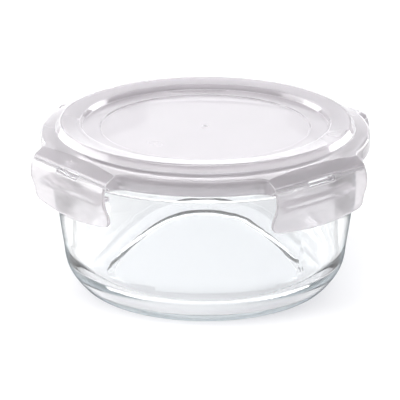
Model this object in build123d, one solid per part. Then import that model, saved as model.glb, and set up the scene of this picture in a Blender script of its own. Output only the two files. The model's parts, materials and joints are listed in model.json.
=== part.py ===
from build123d import *
import math
import os

# Round glass food container with a snap-lock plastic lid. All lengths are millimetres.
# The origin is the centre of the base on the table plane and +Z is up. The four snap
# flaps stand at the front (-Y), right (+X), back (+Y) and left (-X). Pairs of numbers
# are a distance from the upright axis and a height, and curves go from top to bottom.

# ---- Glass bowl ----
foot_outer = 58.0  # radius where the foot ring meets the rounded bottom corner
foot_inner = 50.0
push_up = 1.0  # height of the raised middle of the underside
push_up_radius = 46.0
corner = [(64.6, 2.1), (70.0, 10.0)]  # on the rounded bottom corner
wall_foot = (72.0, 21.3)
wall_middle = (75.0, 45.0)
wall_top = (76.6, 66.0)  # just under the rim flange
floor_thickness = 5.5
wall_thickness = 4.0
rim_outer = 80.5
rim_inner = 75.2
rim_top = 74.0
ledge_height = 67.0  # underside of the rim flange, which the latches grip
mouth_depth = 5.0  # depth of the straight mouth inside the rim
under_rim_rounding = 0.9
rim_rounding = [1.8, 1.6, 1.6]  # ledge's outer edge, then the rim's outer and inner top edges

# ---- Lid, from the middle outwards ----
deck_height = 80.0  # level where the raised ring meets the deck
plate = 1.7  # thickness of the moulding
gate_radius = 1.3  # moulding gate mark in the middle of the panel
gate_depth = 0.3
lid_top = [  # distance, height and rounding of each corner of the top surface
    (52.2, 79.4, 0.2),
    (52.7, 80.1, 0.2),
    (61.4, 80.1, 0.5),
    (62.5, 83.0, 0.9),
    (72.6, 84.0, 1.2),
    (74.6, deck_height, 1.0),
]
lid_underside = [  # the same for the underside, from the plug wall back to the middle
    (72.8, 79.4, 0.6),
    (71.4, 82.2, 0.8),
    (64.1, 81.5, 0.6),
    (63.0, 78.4, 0.4),
    (53.5, 78.4, 0.3),
    (53.0, 77.7, 0.3),
]
deck_slope = 0.145  # fall of the deck per millimetre outwards
outline_radius = 82.4
deck_edge_rounding = 1.6
skirt_inner = 81.0
skirt_bottom = 71.5
plug_outer = 74.4
plug_bottom = 70.5
groove_outer = 79.6  # the seal's groove runs from the plug wall out to here
groove_ceiling = 77.3
shoulder_ceiling = 75.4  # between the groove and the skirt, over the rim's outer edge
groove_rounding = 0.4
plug_rounding = 0.6

# ---- Hinge ears and living hinges ----
hinge_distance = 85.2  # from the container's axis to each hinge axis
hinge_height = 74.1
ear_half = 28.7  # half the length of an ear and of its hinge
ear_blend = 8.0  # concave blend between the round outline and an ear's side
ear_fold = (77.0, 80.0)  # where the ear starts to slope down
strip_top = (84.0, 75.7)  # top of the steep strip above the hinge
strip_rounding = 0.9
ear_knee = (82.5, 74.7)  # under strip_top, inside the plate
ear_under = (78.3, 77.3)  # under ear_fold
flap_clearance = 2.2  # room behind the hinge axis for the flap's thickness
groove_radius = 0.6  # hinge groove, round about the hinge axis
ear_mitre = 212.0  # directions of the two end faces that meet at the hinge, in degrees from
flap_mitre = 226.0  # straight outwards, counter-clockwise with up at 90
film_inner = 0.25  # the hinge film lies in the groove, from this radius out
film_span = (165.0, 280.0)  # directions between which the film runs
slot_half = 8.4
slot_low = 72.1
slot_high = 74.6
slot_rounding = 1.0
slot_inner = 80.6  # the slot is open from here outwards

# ---- Snap flaps ----
flap_curve = [(85.2, 74.1), (87.0, 68.8), (86.2, 63.4), (84.5, 58.8), (84.1, 54.6), (84.4, 50.4)]
flap_thickness = 1.9
flap_flare = 0.6  # how much wider each side is at the bottom than at the hinge
flap_straight = 3.0  # height of the straight sides next to the hinge
flap_flared = 7.0  # height of the straight sides at the bottom
flap_bow = 3.2  # how much lower the bottom edge hangs in the middle than at its ends
flap_corner = 4.5
flap_rounding = 0.6  # all round the sides and the bottom of the sheet
rib_root = 85.5  # the latch rib runs from here inwards to the rim
rib_top = 65.9
rib_tip_bottom = 63.9
rib_root_bottom = 62.3
rib_half = 22.0
rim_clearance = 0.15  # radial gap between the latch ribs and the rim flange

# ---- Seal ----
seal_gap = 0.05
seal_body_bottom = 74.9
seal_rounding = 0.45
bead_radius = 0.85
bead_distances = [75.9, 78.2]

hinge_angles = {"right": 0, "back": 90, "left": 180, "front": -90}
past = 40.0  # far enough for a cutting shape to pass right through a piece


def polygon(points):
    return make_face(Polyline(*points, close=True))


def turned(edges):
    """The body that a closed outline of (distance, height) edges makes about the upright axis."""
    return revolve(Plane.XZ * make_face(edges))


def prism(face, half_length):
    """A (distance, height) face pulled both ways along the right-hand hinge line."""
    return extrude(Plane.XZ.offset(-half_length) * face, amount=2 * half_length)


def along_hinge(radius, half_length):
    """A round bar on the right-hand hinge axis."""
    bar = Rot(90, 0, 0) * Cylinder(radius, 2 * half_length)
    return Pos(hinge_distance, 0, hinge_height) * bar


def from_hinge(radius, degrees):
    """The (distance, height) point at this radius and direction from the hinge axis."""
    turn = math.radians(degrees)
    return (hinge_distance + radius * math.cos(turn), hinge_height + radius * math.sin(turn))


def inside_outline(radius):
    return Pos(0, 0, deck_height) * Cylinder(radius, 2 * past)


def deck_level(distance):
    return deck_height - deck_slope * (distance - lid_top[-1][0])


def bowl_wall(points):
    """The rounded bottom corner and the gently bowed wall, from the foot up through these points."""
    bow = ThreePointArc(*points[-3:])
    rounded = Spline(*points[:-2], tangents=[(1, 0), bow % 0], tangent_scalars=[2, 1])
    return [*rounded.edges(), *bow.edges()]


def glass_bowl():
    outside = [(foot_outer, 0), *corner, wall_foot, wall_middle, wall_top]
    mouth_height = rim_top - mouth_depth
    squeeze = (mouth_height - floor_thickness) / wall_top[1]
    inside = [(r - wall_thickness, floor_thickness + z * squeeze) for r, z in outside[:-1]]
    inside += [(rim_inner, mouth_height)]
    rim = FilletPolyline(
        wall_top,
        (wall_top[0], ledge_height),
        (rim_outer, ledge_height),
        (rim_outer, rim_top),
        (rim_inner, rim_top),
        (rim_inner, mouth_height),
        radius=[under_rim_rounding, *rim_rounding],
    )
    floor = Polyline(
        inside[0],
        (0, floor_thickness),
        (0, push_up),
        (push_up_radius, push_up),
        (foot_inner, 0),
        (foot_outer, 0),
    )
    return turned([*bowl_wall(outside), *rim.edges(), *bowl_wall(inside), *floor.edges()])


def lid_plan():
    """The lid's outline from above: a disc with four ears, blended at their sides."""
    blend_side = ear_half + ear_blend
    blend_distance = math.sqrt((outline_radius + ear_blend) ** 2 - blend_side**2)
    root = polygon([(0, 0), (blend_distance, -blend_side), (blend_distance, blend_side)])
    for side in (-blend_side, blend_side):
        root -= Pos(blend_distance, side) * Circle(ear_blend)
    ear = root + Pos(hinge_distance / 2, 0) * Rectangle(hinge_distance, 2 * ear_half)
    plan = Circle(outline_radius)
    for degrees in hinge_angles.values():
        plan += Rot(0, 0, degrees) * ear
    return plan


def lid_blank():
    """The plate, raised ring, plug wall and seal groove, with a plain thick deck past the outline."""
    reach = hinge_distance + past
    corners = [(0, lid_top[0][1], 0), *lid_top]
    corners += [(reach, deck_level(reach), 0), (reach, skirt_bottom, 0)]
    corners += [(skirt_inner, skirt_bottom, groove_rounding), (skirt_inner, shoulder_ceiling, groove_rounding)]
    corners += [(groove_outer, shoulder_ceiling, groove_rounding), (groove_outer, groove_ceiling, groove_rounding)]
    corners += [(plug_outer, groove_ceiling, groove_rounding), (plug_outer, plug_bottom, plug_rounding)]
    corners += [(lid_underside[0][0], plug_bottom, plug_rounding), *lid_underside]
    corners += [(0, lid_underside[-1][1], 0)]
    points = [(distance, height) for distance, height, rounding in corners]
    roundings = [rounding for distance, height, rounding in corners]
    return turned(FilletPolyline(*points, radius=roundings, close=True).edges())


def is_deck_edge(edge):
    """True for the outline's top edges except the straight ones over the hinges."""
    middle = edge @ 0.5
    over_hinge = max(abs(middle.X), abs(middle.Y)) > hinge_distance - 0.01
    return math.hypot(middle.X, middle.Y) > outline_radius - 1 and middle.Z > groove_ceiling and not over_hinge


def above_ear():
    """What stands above an ear's sloping top and the rounded steep strip over the hinge."""
    slope = (strip_top[1] - ear_fold[1]) / (strip_top[0] - ear_fold[0])
    fall = (hinge_height - strip_top[1]) / (hinge_distance - strip_top[0])
    back = lid_top[-1][0]
    front = hinge_distance + past
    start = (back, ear_fold[1] + slope * (back - ear_fold[0]))
    end = (front, strip_top[1] + fall * (front - strip_top[0]))
    edges = FilletPolyline(start, strip_top, end, radius=strip_rounding).edges()
    edges += Polyline(end, (front, deck_height + past), (back, deck_height + past), start).edges()
    return prism(make_face(edges), ear_half + ear_blend)


def in_front_of_ear():
    """Room under the hinge for the flap, past the ear's mitred end face."""
    behind = hinge_distance - flap_clearance
    drop = flap_clearance * math.tan(math.radians(ear_mitre - 180))
    outline = [
        (behind, hinge_height - drop),
        (hinge_distance, hinge_height),
        (hinge_distance + past, hinge_height),
        (hinge_distance + past, skirt_bottom - 1),
        (behind, skirt_bottom - 1),
    ]
    return prism(polygon(outline), ear_half + ear_blend)


def under_ear():
    """The hollow under an ear's plate, between its side walls and outside the skirt."""
    front = from_hinge(flap_clearance, ear_mitre)
    back = lid_top[-1][0]
    outline = [
        (back, ear_under[1]),
        ear_under,
        ear_knee,
        front,
        (front[0], skirt_bottom - 1),
        (back, skirt_bottom - 1),
    ]
    return prism(polygon(outline), ear_half - plate) - inside_outline(outline_radius)


def behind_side_walls():
    """The hollow behind the ears' blended sides, which leaves them as thin walls."""
    inner_plan = Pos(0, 0, skirt_bottom - 1) * offset(lid_plan(), -plate)
    hollow = extrude(inner_plan, amount=ear_knee[1] - skirt_bottom + 1)
    return hollow - inside_outline(outline_radius)


def slot():
    """The rounded slot through the middle of a hinge line."""
    face = RectangleRounded(2 * slot_half, slot_high - slot_low, slot_rounding)
    middle = Pos(0, (slot_high + slot_low) / 2)
    return extrude(Plane.YZ.offset(slot_inner) * middle * face, amount=past)


def lid():
    outline = extrude(Pos(0, 0, skirt_bottom - 1) * lid_plan(), amount=past)
    body = lid_blank() & outline
    body = fillet(body.edges().filter_by(is_deck_edge), deck_edge_rounding)
    body -= behind_side_walls()
    ear_cuts = above_ear() + in_front_of_ear() + under_ear() + along_hinge(groove_radius, past) + slot()
    for degrees in hinge_angles.values():
        body -= Rot(0, 0, degrees) * ear_cuts
    return body - Pos(0, 0, lid_top[0][1]) * Cylinder(gate_radius, 2 * gate_depth)


def seal_ring():
    inner = plug_outer + seal_gap
    outer = groove_outer - seal_gap
    top = groove_ceiling - seal_gap
    corners = [(inner, seal_body_bottom), (inner, top), (outer, top), (outer, seal_body_bottom)]
    body = make_face(FilletPolyline(*corners, radius=seal_rounding, close=True))
    for distance in bead_distances:
        body += Pos(distance, seal_body_bottom) * Circle(bead_radius)
    return revolve(Plane.XZ * body)


def hinge_film():
    """Two strips of thin web in the hinge groove, one on each side of the slot."""
    start, end = film_span
    steps = 8
    fan = [from_hinge(3 * groove_radius, start + (end - start) * n / steps) for n in range(steps + 1)]
    wedge = prism(polygon([(hinge_distance, hinge_height), *fan]), ear_half)
    web = along_hinge(groove_radius, ear_half) - along_hinge(film_inner, ear_half)
    return (web & wedge) - slot()


def flap_sheet():
    """The curved sheet of a flap, square at its ends."""
    inner_curve = [(distance - flap_thickness, height) for distance, height in flap_curve]
    edges = [Spline(*flap_curve), Spline(*inner_curve)]
    edges += [Line(flap_curve[0], inner_curve[0]), Line(flap_curve[-1], inner_curve[-1])]
    return prism(make_face(edges), past)


def flap_front():
    """A flap's outline seen square on: flared sides and two rounded lower corners."""
    bottom = flap_curve[-1][1]
    flared = ear_half + flap_flare
    half = [
        (flared, bottom + flap_bow),
        (flared, bottom + flap_flared),
        (ear_half, hinge_height - flap_straight),
        (ear_half, hinge_height + flap_straight),
    ]
    sides = Polyline(*half, *[(-across, height) for across, height in reversed(half)])
    lower_edge = ThreePointArc(sides @ 1, (0, bottom), sides @ 0)
    outline = make_face([*sides.edges(), lower_edge])
    return fillet(outline.vertices().sort_by(Axis.Y)[0:2], flap_corner)


def is_flap_rim(edge):
    """True for the long edges round the sides and the bottom of a flap's sheet."""
    return (edge @ 0.5).Z < hinge_height - flap_straight and edge.length > 2 * flap_thickness


def latch_rib():
    """The rib inside a flap that grips under the rim flange, longer than it will be."""
    start = hinge_distance - past / 4
    outline = [
        (start, rib_top),
        (rib_root, rib_top),
        (rib_root, rib_root_bottom),
        (rim_outer, rib_tip_bottom),
        (start, rib_tip_bottom),
    ]
    return prism(polygon(outline), rib_half)


def above_flap():
    """What stands above the flap's mitred end face at the hinge."""
    ends = [from_hinge(past / 4, degrees) for degrees in (flap_mitre, 180, 90, 0)]
    return prism(polygon([(hinge_distance, hinge_height), *ends]), past)


def flap():
    """One snap flap with its latch rib, at the right of the container."""
    front = Plane.YZ.offset(hinge_distance - past / 2) * flap_front()
    sheet = flap_sheet() & extrude(front, amount=past)
    body = fillet(sheet.edges().filter_by(is_flap_rim), flap_rounding) + latch_rib()
    body -= inside_outline(rim_outer + rim_clearance)
    return body - above_flap() - along_hinge(groove_radius, past) - slot()


def main():
    pieces = {"glass_bowl": glass_bowl(), "lid": lid(), "seal_ring": seal_ring()}
    for side, degrees in hinge_angles.items():
        pieces[f"flap_{side}"] = Rot(0, 0, degrees) * flap()
        pieces[f"hinge_film_{side}"] = Rot(0, 0, degrees) * hinge_film()
    os.makedirs("parts", exist_ok=True)
    for name, piece in pieces.items():
        export_step(piece, f"parts/{name}.step")


main()
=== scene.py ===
import json
import math

import bmesh
import bpy
from mathutils import Matrix, Vector


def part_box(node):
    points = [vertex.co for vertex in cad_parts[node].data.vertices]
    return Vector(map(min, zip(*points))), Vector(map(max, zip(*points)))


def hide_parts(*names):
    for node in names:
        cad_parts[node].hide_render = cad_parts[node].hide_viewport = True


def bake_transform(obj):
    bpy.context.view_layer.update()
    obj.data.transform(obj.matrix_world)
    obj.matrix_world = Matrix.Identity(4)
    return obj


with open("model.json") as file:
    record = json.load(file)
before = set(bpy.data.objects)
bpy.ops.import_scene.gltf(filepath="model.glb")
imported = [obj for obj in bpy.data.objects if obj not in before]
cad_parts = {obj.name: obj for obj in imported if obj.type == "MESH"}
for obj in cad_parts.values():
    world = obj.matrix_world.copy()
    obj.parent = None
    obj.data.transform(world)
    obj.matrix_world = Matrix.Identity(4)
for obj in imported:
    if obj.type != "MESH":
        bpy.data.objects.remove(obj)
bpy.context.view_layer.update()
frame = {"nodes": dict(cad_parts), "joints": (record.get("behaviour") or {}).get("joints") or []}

# Lengths are in metres.
SIDES = {"right": 0, "back": 90, "left": 180, "front": -90}  # each flap's direction, in degrees

# The camera looks from azimuth 49.95 degrees right of the front, 17.85 degrees above level.
VIEW_AZIMUTH = math.radians(49.95)
VIEW_ELEVATION = math.radians(17.85)
toward = Vector((math.sin(VIEW_AZIMUTH), -math.cos(VIEW_AZIMUTH), 0))
right = Vector((math.cos(VIEW_AZIMUTH), math.sin(VIEW_AZIMUTH), 0))
up = Vector((0, 0, 1))

SHARP_ANGLE = math.radians(35)  # edges sharper than this stay crisp
LIGHT_DISTANCE = 1.5

# Living hinges: each web wraps round its hinge axis, from the lid down to the flap.
WEB_INNER = 0.00025  # radius of the web's inner face
WEB_START = 165  # direction in degrees where it leaves the lid; 0 points outwards and 90 up
WEB_END = 280  # direction in degrees where it meets the flap
WEB_TURNS = 24  # faces round the bend
WEB_LENGTHS = 10  # faces along the hinge
SLOT_HALF = 0.0084  # half the length of the slot between a hinge's two strips


# ---- Shader helpers ----
def new_material(name):
    material = bpy.data.materials.new(name)
    material.use_nodes = True
    tree = material.node_tree
    tree.nodes.clear()
    output = tree.nodes.new("ShaderNodeOutputMaterial")
    return material, tree, output


def node(tree, kind, **settings):
    made = tree.nodes.new(kind)
    for key, value in settings.items():
        if key in made.inputs:
            made.inputs[key].default_value = value
        else:
            setattr(made, key, value)
    return made


def link(tree, source, target):
    tree.links.new(source, target)


def noise(tree, scale, detail=2.0, roughness=0.5):
    where = node(tree, "ShaderNodeTexCoord")
    made = node(tree, "ShaderNodeTexNoise", Scale=scale, Detail=detail, Roughness=roughness)
    link(tree, where.outputs["Object"], made.inputs["Vector"])
    return made.outputs["Fac"]


def remap(tree, value, first, last, start=0.0, end=1.0, smooth=False):
    """Turns a value that runs from start to end into one that runs from first to last."""
    made = node(tree, "ShaderNodeMapRange")
    if smooth:
        made.interpolation_type = "SMOOTHSTEP"
    for name, number in (("From Min", start), ("From Max", end), ("To Min", first), ("To Max", last)):
        made.inputs[name].default_value = number
    link(tree, value, made.inputs["Value"])
    return made.outputs["Result"]


def bump(tree, height, strength, distance):
    made = node(tree, "ShaderNodeBump", Strength=strength, Distance=distance)
    link(tree, height, made.inputs["Height"])
    return made.outputs["Normal"]


def edge_on(tree, start, end, most):
    """0 where a surface is seen square on, rising smoothly to this much where it is seen edge on."""
    facing = node(tree, "ShaderNodeLayerWeight", Blend=0.5).outputs["Facing"]
    return remap(tree, facing, 0.0, most, start, end, smooth=True)


def near_edges(tree, radius, most):
    """This much along the sharp edges of a piece, 0 away from them."""
    rounded = node(tree, "ShaderNodeBevel", Radius=radius, samples=4)
    flat = node(tree, "ShaderNodeNewGeometry")
    agreement = node(tree, "ShaderNodeVectorMath", operation="DOT_PRODUCT")
    link(tree, rounded.outputs["Normal"], agreement.inputs[0])
    link(tree, flat.outputs["Normal"], agreement.inputs[1])
    return remap(tree, agreement.outputs["Value"], most, 0.0, start=0.75, end=0.995, smooth=True)


def mix_shaders(tree, amount, first, second):
    made = node(tree, "ShaderNodeMixShader")
    if isinstance(amount, float):
        made.inputs["Fac"].default_value = amount
    else:
        link(tree, amount, made.inputs["Fac"])
    link(tree, first, made.inputs[1])
    link(tree, second, made.inputs[2])
    return made.outputs[0]


def let_lamps_through(tree, output, shader, tint):
    """Lamp and bounced light pass straight through, tinted, so clear walls cast no black shadow."""
    path = node(tree, "ShaderNodeLightPath")
    either = node(tree, "ShaderNodeMath", operation="MAXIMUM")
    link(tree, path.outputs["Is Shadow Ray"], either.inputs[0])
    link(tree, path.outputs["Is Diffuse Ray"], either.inputs[1])
    clear = node(tree, "ShaderNodeBsdfTransparent", Color=(*tint, 1))
    link(tree, mix_shaders(tree, either.outputs[0], shader, clear.outputs[0]), output.inputs["Surface"])


# ---- Materials ----
def glass_material():
    """Clear pressed glass with a faint waviness, and a painted shade: a grey outline painted where it is
    seen edge on.
    """
    material, tree, output = new_material("borosilicate_glass")
    shader = node(tree, "ShaderNodeBsdfPrincipled", IOR=1.474)
    shader.inputs["Transmission Weight"].default_value = 1.0
    shader.inputs["Base Color"].default_value = (0.965, 0.975, 0.975, 1)
    link(tree, remap(tree, noise(tree, scale=40), 0.0, 0.03), shader.inputs["Roughness"])
    waves = bump(tree, noise(tree, scale=18, detail=1.0), strength=0.08, distance=0.0006)
    link(tree, waves, shader.inputs["Normal"])
    # Painted shade: a dark grey see-through colour mixed in where the glass is seen edge on, drawing its
    # dark outline.
    painted_edge_shade = node(tree, "ShaderNodeBsdfTransparent", Color=(0.34, 0.38, 0.40, 1))
    painted_edge_shade_mask = edge_on(tree, start=0.68, end=0.96, most=0.85)
    with_painted_edge_shade = mix_shaders(tree, painted_edge_shade_mask, shader.outputs[0], painted_edge_shade.outputs[0])
    let_lamps_through(tree, output, with_painted_edge_shade, tint=(0.93, 0.935, 0.94))
    return material


def plastic_material(name, milkiness, tint, milk):
    """Translucent moulded polypropylene: hazy see-through, milky scattering, and a painted highlight that
    makes the sharp edges pale.
    """
    material, tree, output = new_material(name)
    clear = node(tree, "ShaderNodeBsdfPrincipled", IOR=1.49)
    clear.inputs["Base Color"].default_value = (*tint, 1)
    clear.inputs["Transmission Weight"].default_value = 1.0
    link(tree, remap(tree, noise(tree, scale=90, detail=3.0), 0.02, 0.06), clear.inputs["Roughness"])
    milky = node(tree, "ShaderNodeBsdfPrincipled", Roughness=0.12)
    milky.inputs["Base Color"].default_value = (*milk, 1)
    glow = node(tree, "ShaderNodeBsdfTranslucent", Color=(*milk, 1))
    body = mix_shaders(tree, 0.5, milky.outputs[0], glow.outputs[0])
    skin = bump(tree, noise(tree, scale=25, detail=1.0), strength=0.02, distance=0.0005)
    for shader in (clear, milky):
        link(tree, skin, shader.inputs["Normal"])
    cloud_spread = 0.04
    cloud = remap(tree, noise(tree, scale=12), milkiness - cloud_spread, milkiness + cloud_spread)
    sheet = mix_shaders(tree, cloud, clear.outputs[0], body)
    # Painted highlight: a bright milky colour mixed in along the sharp edges, standing in for the bright
    # rims that light gives them.
    painted_highlight_color = (0.96, 0.95, 0.97, 1)
    bright = node(tree, "ShaderNodeBsdfTranslucent", Color=painted_highlight_color)
    pale = node(tree, "ShaderNodeBsdfDiffuse", Color=painted_highlight_color)
    edge = mix_shaders(tree, 0.5, bright.outputs[0], pale.outputs[0])
    with_painted_edge_highlight = mix_shaders(tree, near_edges(tree, radius=0.0009, most=0.8), sheet, edge)
    let_lamps_through(tree, output, with_painted_edge_highlight, tint=(0.75, 0.745, 0.755))
    return material


def silicone_material():
    """Soft milky rubber with a fine matt grain."""
    material, tree, output = new_material("silicone")
    shader = node(tree, "ShaderNodeBsdfPrincipled", IOR=1.41)
    shader.inputs["Base Color"].default_value = (0.80, 0.79, 0.79, 1)
    shader.inputs["Transmission Weight"].default_value = 0.4
    link(tree, remap(tree, noise(tree, scale=120, detail=3.0), 0.35, 0.5), shader.inputs["Roughness"])
    grain = bump(tree, noise(tree, scale=300), strength=0.1, distance=0.0002)
    link(tree, grain, shader.inputs["Normal"])
    let_lamps_through(tree, output, shader.outputs[0], tint=(0.7, 0.7, 0.7))
    return material


def floor_material():
    """Pale matt floor, very slightly uneven."""
    material, tree, output = new_material("pale_floor")
    shader = node(tree, "ShaderNodeBsdfPrincipled", Roughness=0.6)
    shader.inputs["Specular IOR Level"].default_value = 0.05
    link(tree, remap(tree, noise(tree, scale=3), 0.90, 0.92), shader.inputs["Base Color"])
    link(tree, shader.outputs[0], output.inputs["Surface"])
    return material


def paint(obj, material):
    obj.data.materials.clear()
    obj.data.materials.append(material)


# ---- Objects ----
def add_object(name, data):
    obj = bpy.data.objects.new(name, data)
    bpy.context.scene.collection.objects.link(obj)
    return obj


def add_mesh(name, work):
    """Turns a finished bmesh into an object."""
    mesh = bpy.data.meshes.new(name)
    work.to_mesh(mesh)
    work.free()
    return add_object(name, mesh)


# ---- Living hinges ----
def web_strip(work, to_row, radius, near, far):
    """A thin web round the hinge axis, out to this radius and from near to far along the axis."""
    grid = {}
    for i in range(WEB_TURNS + 1):
        angle = math.radians(WEB_START + (WEB_END - WEB_START) * i / WEB_TURNS)
        for j, r in enumerate((WEB_INNER, radius)):
            for k in range(WEB_LENGTHS + 1):
                along = near + (far - near) * k / WEB_LENGTHS
                place = to_row(r * math.cos(angle), along, r * math.sin(angle))
                grid[i, j, k] = work.verts.new(place)
    for i in range(WEB_TURNS):
        for k in range(WEB_LENGTHS):
            work.faces.new([grid[i, 1, k], grid[i + 1, 1, k], grid[i + 1, 1, k + 1], grid[i, 1, k + 1]])
            work.faces.new([grid[i, 0, k], grid[i, 0, k + 1], grid[i + 1, 0, k + 1], grid[i + 1, 0, k]])
        for k in (0, WEB_LENGTHS):
            work.faces.new([grid[i, 0, k], grid[i + 1, 0, k], grid[i + 1, 1, k], grid[i, 1, k]])
    for i in (0, WEB_TURNS):
        for k in range(WEB_LENGTHS):
            work.faces.new([grid[i, 0, k], grid[i, 1, k], grid[i, 1, k + 1], grid[i, 0, k + 1]])


def hinge_web(side, material):
    """The two strips of one living hinge, which bend from the lid to the flap."""
    turn = math.radians(SIDES[side])
    out = Vector((math.cos(turn), math.sin(turn), 0))
    sideways = Vector((-math.sin(turn), math.cos(turn), 0))
    joint = [j for j in frame["joints"] if j["name"] == f"flap_{side}_hinge"][0]
    axis = Vector(joint["pos_m"])
    low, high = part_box("hinge_film_right")
    radius = math.hypot(axis.x, axis.y) - low.x

    def to_row(outwards, along, upwards):
        return axis + out * outwards + sideways * along + up * upwards

    work = bmesh.new()
    for near, far in ((-high.y, -SLOT_HALF), (SLOT_HALF, high.y)):
        web_strip(work, to_row, radius, near, far)
    bmesh.ops.recalc_face_normals(work, faces=work.faces)
    web = add_mesh(f"hinge_web_{side}", work)
    paint(web, material)
    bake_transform(web)
    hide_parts(f"hinge_film_{side}")


# ---- Pieces ----
def make_pieces():
    glass = glass_material()
    plastic = plastic_material(
        "clear_polypropylene", milkiness=0.32, tint=(0.68, 0.65, 0.67), milk=(0.76, 0.73, 0.75)
    )
    # Painted light: the flaps get a lighter copy of the same polypropylene, standing in for the stronger
    # light they catch from outside.
    flap_plastic_painted_lighter = plastic_material(
        "clear_polypropylene_flap_painted_lighter", milkiness=0.32, tint=(0.84, 0.815, 0.83), milk=(0.86, 0.83, 0.845)
    )
    silicone = silicone_material()
    for name, obj in frame["nodes"].items():
        if name == "glass_bowl":
            paint(obj, glass)
        elif name == "seal_ring":
            paint(obj, silicone)
        elif name.startswith("flap"):
            paint(obj, flap_plastic_painted_lighter)
        else:
            paint(obj, plastic)
        obj.data.set_sharp_from_angle(angle=SHARP_ANGLE)
    for side in SIDES:
        hinge_web(side, plastic)


# ---- Room, lights and camera ----
def make_floor():
    work = bmesh.new()
    bmesh.ops.create_grid(work, x_segments=4, y_segments=4, size=6)
    floor = add_mesh("floor", work)
    paint(floor, floor_material())


def make_world():
    """A pale screen behind the container, with a dim room overhead and on the camera's side."""
    screen_top = math.sin(math.radians(39))
    screen_fade = 0.06
    room_strength = 0.25
    world = bpy.data.worlds.new("studio")
    bpy.context.scene.world = world
    world.use_nodes = True
    tree = world.node_tree
    background = tree.nodes["Background"]
    where = node(tree, "ShaderNodeTexCoord")
    behind = node(tree, "ShaderNodeVectorMath", operation="DOT_PRODUCT")
    link(tree, where.outputs["Generated"], behind.inputs[0])
    behind.inputs[1].default_value = -toward
    parts = node(tree, "ShaderNodeSeparateXYZ")
    link(tree, where.outputs["Generated"], parts.inputs[0])
    height = parts.outputs["Z"]
    across = remap(tree, behind.outputs["Value"], 0.0, 1.0, start=0.2, end=0.55, smooth=True)
    below_top = remap(tree, height, 1.0, 0.0, start=screen_top, end=screen_top + screen_fade, smooth=True)
    strength = remap(tree, height, 2.7, 1.35, start=0.05, end=0.3, smooth=True)
    screen = node(tree, "ShaderNodeMath", operation="MULTIPLY")
    link(tree, across, screen.inputs[0])
    link(tree, below_top, screen.inputs[1])
    lit = node(tree, "ShaderNodeMath", operation="MULTIPLY_ADD")
    link(tree, screen.outputs[0], lit.inputs[0])
    link(tree, strength, lit.inputs[1])
    lit.inputs[2].default_value = room_strength
    link(tree, lit.outputs[0], background.inputs["Strength"])
    background.inputs["Color"].default_value = (0.97, 0.975, 1.0, 1)


def softbox(name, start, end, width, power, lights_rough=False):
    """A rectangular light from start to end. Unless it lights rough surfaces, only gloss shows it."""
    target = up * 0.05
    place = (start + end) / 2
    away = (place - target).normalized()
    along = (end - start).normalized()
    across = along.cross(away).normalized()
    light = bpy.data.lights.new(name, "AREA")
    light.shape = "RECTANGLE"
    light.size = width
    light.size_y = (end - start).length
    light.energy = power
    obj = add_object(name, light)
    turn = Matrix((across, away.cross(across), away)).transposed()
    obj.matrix_world = Matrix.Translation(place) @ turn.to_4x4()
    obj.visible_diffuse = lights_rough


def on_dome(azimuth, elevation):
    """A point round the container. Azimuth is measured from straight behind, positive to the right."""
    turn, rise = math.radians(azimuth), math.radians(elevation)
    level = -toward * math.cos(turn) + right * math.sin(turn)
    return (level * math.cos(rise) + up * math.sin(rise)) * LIGHT_DISTANCE


def make_lights():
    overhead = up * 2.2 + toward * 0.6
    half = right * 1.2
    softbox("top_light", overhead - half, overhead + half, width=0.9, power=52, lights_rough=True)
    for name, side in (("left_light", -1), ("right_light", 1)):
        softbox(name, on_dome(36 * side, 3), on_dome(72 * side, 17), width=0.24, power=8.5)
    softbox("side_light", on_dome(-84, 4), on_dome(-84, 38), width=0.8, power=13, lights_rough=True)
    softbox("back_light", on_dome(-50, 29), on_dome(50, 29), width=0.34, power=3.8)


def make_camera():
    """One metre from the middle of the lid's deck, with a long lens."""
    deck_height = 0.080
    aim_height = 0.0402
    aim_left = 0.0026
    place = up * deck_height + toward * math.cos(VIEW_ELEVATION) + up * math.sin(VIEW_ELEVATION)
    aim = up * aim_height - right * aim_left
    camera = bpy.data.cameras.new("camera")
    camera.sensor_width = 36
    camera.lens = 179.9
    camera.clip_end = 50
    obj = add_object("camera", camera)
    obj.location = place
    obj.rotation_euler = (aim - place).to_track_quat("-Z", "Y").to_euler()
    bpy.context.scene.camera = obj


def set_light_paths():
    """Plain colours, and enough bounces to see through several clear walls."""
    scene = bpy.context.scene
    scene.view_settings.view_transform = "Standard"
    scene.cycles.caustics_reflective = False
    scene.cycles.caustics_refractive = False
    scene.cycles.max_bounces = 20
    scene.cycles.transmission_bounces = 18
    scene.cycles.transparent_max_bounces = 24


make_pieces()
make_floor()
make_world()
make_lights()
make_camera()
set_light_paths()
